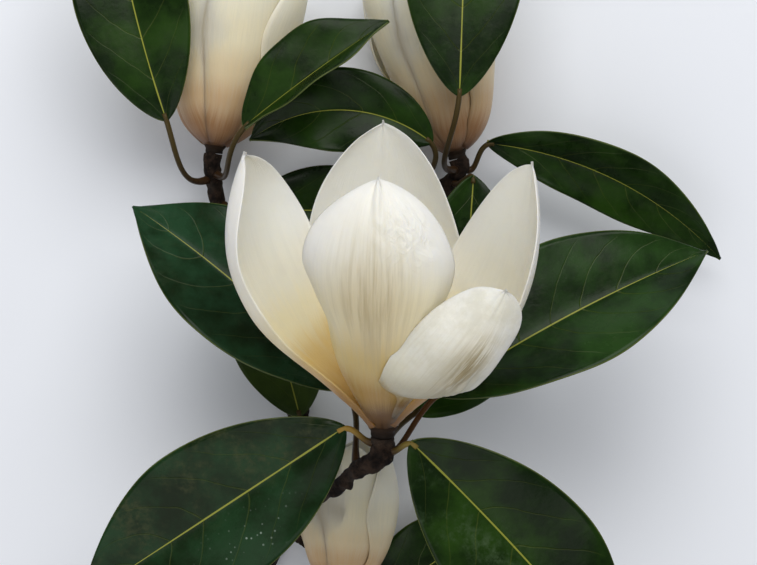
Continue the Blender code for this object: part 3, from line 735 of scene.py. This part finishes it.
def leaf_looks(name, seed, veins, green=(0.015, 0.043, 0.004), deep=(0.003, 0.011, 0.001),
               dust_and_sheen_colour=(0.040, 0.055, 0.024), dust_and_sheen=0.2, dust_and_sheen_right=False, gloss=0.30,
               stalk=(0.060, 0.042, 0.014), specks=0.0):
    """Leathery leaf: dark mottled green, pale midrib and side veins, dust with a painted sheen where it lies
    on one half only, a matt underside.
    """
    looks = Looks(name, roughness=gloss, specular=0.12)
    along, across, side = looks.fact("along"), looks.fact("across"), looks.fact("side")
    off = looks.absolute(across)
    patches = looks.noise(42.0, detail=5.0, roughness=0.6)
    grain = looks.noise(420.0, detail=4.0, roughness=0.6)
    wander = looks.times(looks.minus(looks.noise(26.0), 0.5), 0.9)
    step = looks.minus(looks.times(along, veins), looks.times(looks.math("POWER", off, 1.35), 1.7))
    part = looks.math("FRACT", looks.plus(looks.plus(step, wander), seed))
    near = looks.absolute(looks.minus(part, 0.5))
    vein = looks.times(looks.ramp(near, (0.0, 1.0), (0.030, 0.0)),
                       looks.ramp(off, (0.0, 1.0), (0.75, 0.6), (0.97, 0.0)))
    base = looks.mix(looks.rise(patches, 0.35, 0.7), deep, green)
    cloud = looks.noise(70.0, detail=6.0, roughness=0.7)
    spread = looks.times(looks.rise(grain, 0.35, 0.7), looks.rise(cloud, 0.42, 0.66))
    # Where the tint is kept to one half, it is a painted sheen on that half as well as dust
    if dust_and_sheen_right:
        painted_sheen_half = looks.math("ADD", looks.times(across, -2.0), 0.5, clamp=True)
        spread = looks.times(spread, painted_sheen_half)
    base = looks.tint(base, spread, dust_and_sheen, dust_and_sheen_colour)
    if specks:
        dots = looks.times(looks.ramp(looks.cells(420.0), (0.10, 1.0), (0.22, 0.0)),
                           looks.spot(across, along, *SPECKS_PLACE))
        base = looks.tint(base, dots, specks, LEAF_SPECKS)
    pale_green = tuple(0.4 * a + 0.6 * b for a, b in zip(LEAF_RIB, green))
    base = looks.tint(base, vein, 0.24, pale_green)
    width = looks.ramp(along, (0.0, 0.050), (0.25, 0.016), (1.0, 0.008))
    on_rib = looks.math("SUBTRACT", 1.0, looks.math("DIVIDE", off, width), clamp=True)
    on_rib = looks.rise(on_rib, 0.0, 0.35)
    base = looks.mix(on_rib, base, LEAF_RIB)
    base = looks.tint(base, looks.rise(off, 0.980, 1.0), 0.5, LEAF_MARGIN)
    below = looks.tint(LEAF_UNDERSIDE, vein, 0.4, tuple(0.7 * value for value in LEAF_UNDERSIDE))
    below = looks.mix(on_rib, below, LEAF_RIB_BELOW)
    base = looks.mix(side, below, base)
    stem = looks.ramp(looks.fact("reach"), (0.0, STALK_FOOT), (0.8, stalk))
    looks.colour(looks.mix(looks.fact("stalk"), base, stem))
    looks.roughness(looks.plus(looks.times(patches, 0.16), gloss - 0.10))
    relief = looks.minus(looks.times(grain, 0.35), looks.times(vein, 0.5))
    looks.bump(looks.plus(relief, looks.times(patches, 0.5)), 0.0005, 0.35)
    return looks.material


def bark_looks(name):
    """Dark rough bark with paler patches and pores, and pale wood where it is cut."""
    looks = Looks(name, roughness=0.85, specular=0.12)
    rough = looks.noise(260.0, detail=6.0, roughness=0.65)
    broad = looks.noise(60.0, detail=4.0, roughness=0.6)
    base = looks.mix(looks.rise(rough, 0.35, 0.7), (0.004, 0.0025, 0.002), (0.036, 0.022, 0.015))
    base = looks.tint(base, looks.rise(broad, 0.5, 0.72), 0.40, (0.075, 0.058, 0.044))
    pores = looks.ramp(looks.cells(330.0), (0.0, 1.0), (0.16, 0.0))
    base = looks.tint(base, pores, 0.35, (0.15, 0.11, 0.07))
    wood_grain = looks.rise(looks.noise(500.0), 0.3, 0.7)
    wood = looks.mix(wood_grain, (0.42, 0.33, 0.18), (0.60, 0.50, 0.31))
    looks.colour(looks.mix(looks.fact("cut"), base, wood))
    looks.bump(looks.plus(rough, looks.times(broad, 0.6)), 0.0012, 0.8)
    return looks.material


def receptacle_looks(name, top=(0.050, 0.025, 0.010)):
    """A bloom's foot: dark below, browner towards the petals."""
    looks = Looks(name, roughness=0.7, specular=0.15)
    rough = looks.noise(300.0, detail=5.0, roughness=0.6)
    base = looks.ramp(looks.fact("along"), (0.0, (0.008, 0.005, 0.003)), (0.5, (0.030, 0.016, 0.008)),
                      (1.0, top))
    looks.colour(looks.tint(base, looks.rise(rough, 0.4, 0.7), 0.5, (0.020, 0.012, 0.008)))
    looks.bump(rough, 0.0007, 0.7)
    return looks.material


def cone_looks(name):
    """Cream stamens, green carpels and their golden tips."""
    looks = Looks(name, roughness=0.5, specular=0.4, Subsurface_Weight=0.15, Subsurface_Scale=0.003)
    spots = looks.noise(500.0)
    base = looks.ramp(looks.fact("along"), (0.0, (0.62, 0.50, 0.26)), (0.35, (0.40, 0.42, 0.14)),
                      (1.0, (0.30, 0.36, 0.11)))
    base = looks.tint(base, spots, 0.3, (0.55, 0.52, 0.28))
    looks.colour(looks.mix(looks.fact("tip"), base, (0.70, 0.55, 0.30)))
    looks.bump(spots, 0.0003, 0.5)
    return looks.material


# Pieces: in their formulas, t runs along a petal or blade and v across it
def tepal_rows(count):
    return 1 - (1 - np.linspace(0, 1, count + 1)) ** TIP_CROWDING


def tepal_sheet(shell, shape, turned, foot, grid, seed, ground=False, crease=0.0, wrinkles=()):
    """One petal: its middle surface with soft unevenness, thick in its claw and thin at its edge."""
    rows, columns = grid
    along = tepal_rows(rows)
    points = tepal_points(along, columns, **shape)
    t, v = np.meshgrid(along, np.linspace(-1, 1, columns + 1), indexing="ij")
    layer = np.full_like(t, seed)
    uneven = waves(np.stack((v * 1.3, t * 2.6, layer), -1), 0.9, seed) * PETAL_RIPPLE * ease(t / 0.35)
    turns = 2.3 * t + 0.13 * seed + 0.25 * v
    uneven += MARGIN_WAVE * np.abs(v) ** 4 * np.sin(2 * math.pi * turns) * ease((t - 0.2) / 0.3)
    ridge = np.exp(-(v / 0.045) ** 2) - 0.6 * np.exp(-((np.abs(v) - 0.11) / 0.05) ** 2)
    uneven += crease * ridge * ease((t - 0.80) / 0.12)
    for at, reach in wrinkles:
        near = np.exp(-((v - at[0]) / reach[0]) ** 2 - ((t - at[1]) / reach[1]) ** 2)
        slanting = np.stack((v * 8.0, t * 26.0 + v * 7.0, layer), -1)
        uneven += near * waves(slanting, 1.0, seed + 1) * WRINKLE
    points = (points + normals_of(points) * uneven[..., None]) @ turned.T + foot
    thickness = TEPAL_THICKNESS * (1 - 0.35 * t) * (1 - 0.62 * np.abs(v) ** 3)
    thickness = thickness * (1 - 0.4 * ease((t - 0.93) / 0.07))
    if ground:
        points = pressed_to_ground(points, PETAL_LIFT)
    shell.sheet(points, thickness, along=t, across=v)


def turned_solid(shell, heights, radii, turned, foot, relief=None):
    """A turned form about a bloom's axis."""
    path = foot + heights[:, None] * turned[:, 2]
    shell.tube(path, radii, TURNED_SIDES, relief=relief, along=np.linspace(0, 1, len(heights)))


def receptacle(name, sizes, turned, foot, material):
    """The foot of a bloom, ringed and scarred, closing under its petals."""
    heights = np.linspace(-sizes["below"], sizes["above"] + RECEPTACLE_CAP, RECEPTACLE_ROWS)
    share = (heights + sizes["below"]) / (sizes["below"] + sizes["above"])
    radii = sizes["foot"] + (sizes["shoulder"] * 0.96 - sizes["foot"]) * ease(share)
    radii = radii * (1 + 0.035 * np.sin(share * 19.0))
    radii[-3:] *= (0.95, 0.8, 0.5)
    shell = Shell()
    turned_solid(shell, heights, radii, turned, foot,
                 relief=lambda points: waves(points, SCAR_SIZE, 5.0) * SCAR_HEIGHT)
    return shell.build(name, material)


def spiral_way(turned, index):
    """Outwards from a bloom's axis, a golden angle further for each index."""
    angle = index * GOLDEN_ANGLE
    return turned @ np.array((math.cos(angle), math.sin(angle), 0.0))


def carpel(shell, index, turned, foot, heights, radii):
    """One hooked style on the cone."""
    climb = 0.22 + 0.72 * index / (CARPELS - 1)
    height = CONE_FOOT + CONE_HEIGHT * climb
    out, axis = spiral_way(turned, index), turned[:, 2]
    base = foot + axis * height + out * (float(np.interp(height, heights, radii)) - 0.0005)
    bend = np.linspace(0, 1, 9)[:, None]
    raised = 0.0036 * bend ** 1.4 - 0.0014 * ease(bend * 2 - 1)
    path = base + out * 0.0032 * np.sin(bend * 1.4) + axis * raised
    thick = np.interp(bend[:, 0], (0, 0.35, 1), (0.0011, 0.0009, 0.00025))
    shell.tube(path, thick, CARPEL_SIDES, along=0.4 + 0.6 * climb, tip=ease(bend[:, 0] * 2 - 0.9))


def stamen(shell, index, turned, foot):
    """One stamen of the ring below the carpels, in seven close rows."""
    height = 0.0015 + 0.005 * (index % 7) / 7
    out, axis = spiral_way(turned, index), turned[:, 2]
    reach = np.linspace(0, 1, 8)[:, None]
    path = foot + axis * (height + 0.0105 * reach) + out * (0.0050 + 0.0042 * reach - 0.0016 * reach ** 2)
    thick = np.interp(reach[:, 0], (0, 0.8, 1), (0.0004, 0.0006, 0.0002))
    shell.tube(path, thick, STAMEN_SIDES, tip=0.6 * reach[:, 0])


def front_cone(turned, foot, material):
    """The cone of carpels in a spiral, with its ring of stamens."""
    shell = Shell()
    heights = np.linspace(CONE_FOOT, CONE_FOOT + CONE_HEIGHT, 60)
    share = (heights - CONE_FOOT) / CONE_HEIGHT
    radii = CONE_RADIUS * np.sqrt(np.clip(1 - (np.abs(share - 0.38) / 0.64) ** 2.2, 0.02, 1))
    turned_solid(shell, heights, radii, turned, foot)
    for index in range(CARPELS):
        carpel(shell, index, turned, foot, heights, radii)
    for index in range(STAMENS):
        stamen(shell, index, turned, foot)
    return shell.build("front_cone", material)


def front_petal(name, turned, seed, looks, crease=SLIGHT_CREASE, wrinkles=()):
    shell = Shell()
    tepal_sheet(shell, FRONT_TEPALS[name], turned, FRONT_BLOOM_FOOT, FRONT_GRID, seed, crease=crease,
                wrinkles=wrinkles)
    return shell.build("front_petal_" + name, tepal_looks("petal_" + name, seed, **looks))


def front_bloom():
    turned = bloom_frame(0, FRONT_BLOOM_RISE)
    pieces = [front_petal(name, turned, **plan) for name, plan in FRONT_PETALS.items()]
    pieces.append(receptacle("front_receptacle", FRONT_RECEPTACLE, turned, FRONT_BLOOM_FOOT,
                             receptacle_looks("receptacle_bark")))
    pieces.append(front_cone(turned, FRONT_BLOOM_FOOT, cone_looks("carpels")))
    for piece in pieces:
        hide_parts("front_bloom")


def small_bloom(name, foot, left, rise, length, width, lean, first_turn, material, base_material):
    """A half open bloom: petals round a closed heart, pressed flat where they lie on the floor."""
    turned = bloom_frame(left, rise)
    foot = np.asarray(foot) + FRONT_BLOOM_FOOT
    shell = Shell()
    for index in range(SMALL_BLOOM_TEPALS):
        outer = index % 2
        shape = dict(turn=first_turn + index * 360 / SMALL_BLOOM_TEPALS, length=length * (1 - 0.05 * outer),
                     width=width, lean=tuple(angle + 4 * outer for angle in lean), cup=(55, 60, 60, 50),
                     claw=0.5, widens=(0.2, 0.62), point=0.6, start=(0.0035 + 0.0012 * outer, 0.0))
        tepal_sheet(shell, shape, turned, foot, SMALL_GRID, 11.0 + index, ground=True)
    for index in range(HEART_TEPALS):
        shape = dict(turn=first_turn + 40 + index * 360 / HEART_TEPALS, length=length * 0.86,
                     width=width * 0.86, lean=(54, 12, 0, -6, -26), cup=(70, 74, 74, 66), claw=0.5,
                     widens=(0.2, 0.6), point=0.6, start=(0.0025, 0.001))
        tepal_sheet(shell, shape, turned, foot, HEART_GRID, 21.0 + index, ground=True)
    petals = shell.build(name + "_petals", material)
    base = receptacle(name + "_receptacle", SMALL_RECEPTACLE, turned, foot, base_material)
    for piece in (petals, base):
        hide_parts(name)


def limb(name, course, material):
    """A twig or stem with rough ringed bark, swollen where leaves and side twigs leave it."""
    ends = np.linspace(0, 1, len(course) * BARK_ROWS_A_POINT + 1)
    path = path_points(course, ends)
    centre, radius = path[:, :3], path[:, 3]
    centre[:, 2] = np.maximum(centre[:, 2], radius + LIMB_LIFT)
    swellings = [(np.asarray(at) + FRONT_BLOOM_FOOT, reach, height)
                 for at, reach, height in NODES_OF_BARK.get(name, ())]

    def relief(points):
        rough = sum(waves(points, scale, seed) * height for scale, seed, height in BARK_WAVES)
        for at, reach, height in swellings:
            far = np.sum((points - at) ** 2, axis=-1) / reach ** 2
            rough = rough + height * np.exp(-far)
        rings = np.sin(ends * 70.0)[:, None] ** 8 * BARK_RING
        return (rough + rings) * ease(ends / 0.02)[:, None] * 0.9

    shell = Shell()
    cut = np.where(ends <= 0, 1.0, 0.0) if name == "main_stem" else 0.0
    shell.tube(centre, radius, BARK_SIDES, relief=relief, cut=cut)
    surface = shell.points[0]
    surface[:, 2] = np.maximum(surface[:, 2], BARK_LIFT)
    piece = shell.build(name + "_bark", material)
    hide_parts(name)


def leaf_shapes(courses, grid, seed, stem, along, blade, heading, climb, droop, length, width, fold, turn=0,
                roll=0):
    """The blade's middle surface with its own places on it, and the stalk's path."""
    rows, columns = grid
    blade = np.asarray(blade) + FRONT_BLOOM_FOOT
    pitch = np.radians(climb - droop * FINE)
    compass = np.radians(heading + turn * FINE)
    course = np.stack([np.cos(pitch) * np.cos(compass), np.cos(pitch) * np.sin(compass), np.sin(pitch)], 1)
    left = np.stack([-np.sin(compass), np.cos(compass), np.zeros_like(compass)], axis=1)
    upper = np.cross(course, left)
    tilt = math.radians(roll)
    flat_left = left
    left = flat_left * math.cos(tilt) + upper * math.sin(tilt)
    upper = upper * math.cos(tilt) - flat_left * math.sin(tilt)
    spine = running_total(course, length / (len(FINE) - 1)) + blade
    even = np.linspace(0, 1, rows + 1)
    t_rows = 0.5 * even + 0.5 * (0.5 - 0.5 * np.cos(math.pi * even))
    spine_at, left_at, upper_at = picked(spine, t_rows), picked(left, t_rows), picked(upper, t_rows)
    half = np.maximum(width / 2 * blade_outline(t_rows), LEAST_BLADE_HALF)
    across = np.linspace(-1, 1, columns + 1)
    across = np.sign(across) * np.abs(across) ** KEEL_CROWDING
    t, v = np.meshgrid(t_rows, across, indexing="ij")
    fold = math.radians(fold)
    aside = half[:, None] * math.cos(fold) * v
    raised = half[:, None] * math.sin(fold) * (np.sqrt(v * v + 0.004) - 0.063)
    layer = np.full_like(t, seed)
    buckle = waves(np.stack((v * 1.2, t * 3.2, layer), -1), 0.8, seed) * LEAF_BUCKLE * np.abs(v)
    turns = 2 * math.pi * (2.6 * t + 0.17 * seed) + 2.0 * v
    buckle += LEAF_EDGE_WAVE * np.abs(v) ** 3 * np.sin(turns) * ease(t / 0.2)
    arch = -LEAF_ARCH * (np.abs(v) ** 2) * np.minimum(half / 0.02, 1)[:, None]
    raised = raised + buckle + arch
    surface = spine_at[:, None] + left_at[:, None] * aside[..., None] + upper_at[:, None] * raised[..., None]
    foot, out = foot_on(courses[stem], along, blade, -STALK_SINK)
    reach = np.linalg.norm(blade - foot)
    share = np.linspace(0, 1, STALK_POINTS)[:, None]
    bends = (foot, foot + out * reach * 0.4, blade - course[0] * reach * 0.35, blade + course[0] * STALK_LAP)
    stalk = (bends[0] * (1 - share) ** 3 + bends[1] * 3 * share * (1 - share) ** 2
             + bends[2] * 3 * share ** 2 * (1 - share) + bends[3] * share ** 3)
    return surface, t, v, stalk, upper_at


def leaf(name, courses, plan, material, seed):
    """A blade with its keel below and its stalk, all in one piece."""
    surface, t, v, stalk, upper = leaf_shapes(courses, LEAF_GRID, seed=seed, **plan)
    surface = pressed_to_ground(surface, LEAF_LIFT)
    shell = Shell()
    thickness = LEAF_THICKNESS * (1 - 0.45 * np.abs(v) ** 4)
    shell.sheet(surface[:, ::-1], thickness, along=t, across=v[:, ::-1])
    rows = t[:, 0]
    keel = rows <= KEEL_END
    middle = surface[keel, surface.shape[1] // 2] - upper[keel] * KEEL_SINK
    slim = PETIOLE_RADIUS * (1 - 0.78 * rows[keel] ** 0.7)
    shell.tube(middle, slim, KEEL_SIDES, along=rows[keel], side=0.3)
    share = np.linspace(0, 1, STALK_POINTS)
    swell = 1 + 0.55 * np.exp(-(share / 0.16) ** 2)
    shell.tube(stalk, PETIOLE_RADIUS * swell, STALK_SIDES, side=1.0, stalk=1.0, reach=share)
    piece = shell.build(name + "_blade", material)
    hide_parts(name)


def make_stage():
    mesh = bpy.data.meshes.new("floor")
    corners = [(FLOOR_REACH * x, FLOOR_REACH * y, 0) for x, y in ((-1, -1), (1, -1), (1, 1), (-1, 1))]
    mesh.from_pydata(corners, [], [(0, 1, 2, 3)])
    looks = Looks("floor_paint", roughness=0.9, specular=0.1)
    looks.colour(looks.mix(looks.noise(3.0), (0.80, 0.83, 0.90), (0.84, 0.87, 0.93)))
    mesh.materials.append(looks.material)
    floor = add_object("floor", mesh, (0.0, 0.0, -FLOOR_DROP))


def soft_light(name, at, size, power, colour):
    light = bpy.data.lights.new(name, "AREA")
    light.shape = "RECTANGLE"
    light.size, light.size_y = size
    light.energy = power
    light.color = colour
    item = add_object(name, light, at)
    item.rotation_euler = (Vector(LIGHT_AIM) - Vector(at)).to_track_quat("-Z", "Y").to_euler()


def make_lights():
    soft_light("sky_window", at=(0.15, 0.85, 1.15), size=(1.3, 1.0), power=17.0, colour=(1.0, 0.985, 0.95))
    soft_light("near_fill", at=(-0.35, -0.60, 1.15), size=(1.0, 1.0), power=4.5, colour=(1.0, 0.99, 0.97))
    bpy.context.scene.view_settings.view_transform = "Standard"
    world = bpy.data.worlds.new("studio")
    world.use_nodes = True
    sky = world.node_tree.nodes["Background"]
    sky.inputs["Color"].default_value = (0.95, 0.96, 1.0, 1.0)
    sky.inputs["Strength"].default_value = 0.28
    bpy.context.scene.world = world


def make_camera():
    lens = bpy.data.cameras.new("photo_view")
    lens.lens = VIEW_LENS
    lens.sensor_width = 36.0
    lens.clip_start = 0.01
    bpy.context.scene.camera = add_object("photo_view", lens, VIEW_FROM)


def main():
    make_camera()
    courses = stem_courses()
    front_bloom()
    cream = tepal_looks("petals_far", 9.0, outer=FAR_PETAL_OUTSIDE)
    far_base = receptacle_looks("receptacle_far", top=(0.13, 0.060, 0.028))
    for name, shape in SMALL_BLOOMS.items():
        small_bloom(name, material=cream, base_material=far_base, **shape)
    bark = bark_looks("bark")
    for name, course in courses.items():
        limb(name, course, bark)
    for index, (name, plan) in enumerate(LEAVES.items()):
        veins = round(plan["length"] * VEINS_A_METRE)
        looks = leaf_looks("leaf_" + name, seed=0.37 * index, veins=veins, **LEAF_LOOKS.get(name, {}))
        leaf(name, courses, plan, looks, seed=31.0 + index)
    make_stage()
    make_lights()


main()
